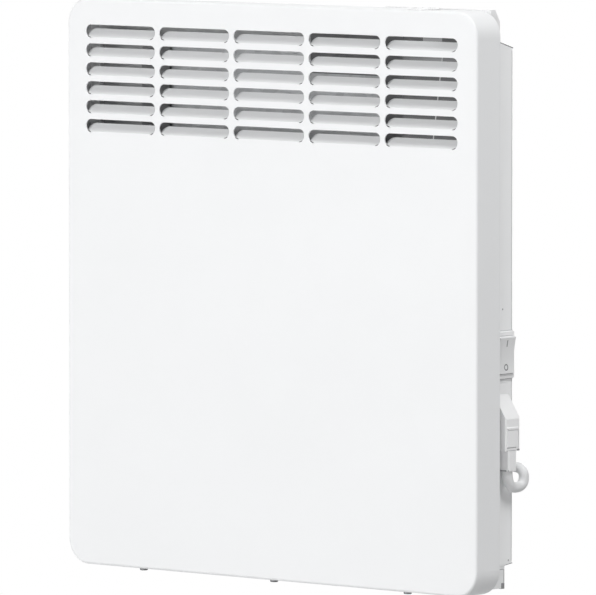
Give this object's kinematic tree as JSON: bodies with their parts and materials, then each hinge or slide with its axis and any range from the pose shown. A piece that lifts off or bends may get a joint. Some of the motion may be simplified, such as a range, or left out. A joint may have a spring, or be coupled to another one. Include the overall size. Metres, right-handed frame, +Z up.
{
  "type": "wall panel convector heater",
  "caption": "Flat wall-hung convector heater: louvred steel front cover, shallow rear casing, top thermostat knob, side rocker switch, side cable outlet and a wall bracket with locking catches.",
  "frame": {"origin": "centre of the bracket's four wall screws, on the wall plane", "axes": "+Z up, +Y from the front panel into the wall, +X to the right as one faces the heater"},
  "size_m": [0.428, 0.08, 0.4532],
  "materials": {
    "cover_coat": "white powder coat, satin",
    "casing_coat": "white powder coat, satin",
    "bracket_coat": "white powder coat on steel sheet",
    "white_plastic": "white moulded plastic",
    "grey_plastic": "grey moulded plastic",
    "dark_liner": "dark plastic",
    "dark_rubber": "dark grey rubber",
    "cord_sheath": "light grey flexible sheath",
    "zinc_steel": "zinc-plated steel",
    "aluminium": "extruded aluminium",
    "brass": "plain brass",
    "board": "dark green circuit board",
    "ceramic": "off-white ceramic"
  },
  "bodies": {
    "heater": {"board_parts": "dark_liner", "board_posts": "grey_plastic", "bracket_screws": "zinc_steel", "cable_outlet": "white_plastic", "coil_tie": "dark_liner", "compartment_liner": "dark_liner", "control_baffle": "dark_liner", "control_board": "board", "control_housing": "white_plastic", "cord_clamp": "grey_plastic", "cord_coil": "cord_sheath", "cover_screws": "zinc_steel", "cutout_bracket": "zinc_steel", "element_brackets": "zinc_steel", "element_bushes": "ceramic", "element_rod": "zinc_steel", "front_cover": "cover_coat", "front_shield": "zinc_steel", "heating_element": "aluminium", "inner_lead": "cord_sheath", "intake_rail": "casing_coat", "mains_cord": "cord_sheath", "mains_plug": "white_plastic", "outlet_nut": "white_plastic", "overheat_cutout": "ceramic", "partition": "zinc_steel", "partition_grommet": "dark_liner", "plug_pins": "zinc_steel", "power_relay": "dark_liner", "rail_end_plugs": "dark_rubber", "rear_casing": "casing_coat", "rear_shield": "zinc_steel", "room_sensor": "dark_liner", "sensor_clip": "grey_plastic", "sensor_lead": "cord_sheath", "setpoint_nut": "zinc_steel", "setpoint_unit": "grey_plastic", "switch_blades": "brass", "switch_frame": "white_plastic", "terminal_block": "grey_plastic", "terminal_screws": "brass", "wall_bracket": "bracket_coat", "wall_buffers": "dark_rubber"},
    "knob": {"control_knob": "white_plastic", "setpoint_shaft": "grey_plastic"},
    "rocker": {"switch_rocker": "white_plastic"},
    "catch_left": {"locking_catch_left": "white_plastic"},
    "catch_right": {"locking_catch_right": "white_plastic"}
  },
  "joints": [
    {"name": "knob_turn", "type": "hinge", "parent": "heater", "child": "knob", "pos_m": [0.1465, -0.066, 0.22], "axis": [0, 0, -1], "range_deg": [0, 270]},
    {"name": "rocker_tilt", "type": "hinge", "parent": "heater", "child": "rocker", "pos_m": [0.2023, -0.0366, -0.0403], "axis": [0, -1, 0], "range_deg": [0, 7]},
    {"name": "catch_left_slide", "type": "slide", "parent": "heater", "child": "catch_left", "axis": [0, 0, 1], "range_m": [0, 0.008]},
    {"name": "catch_right_slide", "type": "slide", "parent": "heater", "child": "catch_right", "axis": [0, 0, 1], "range_m": [0, 0.008]}
  ]
}
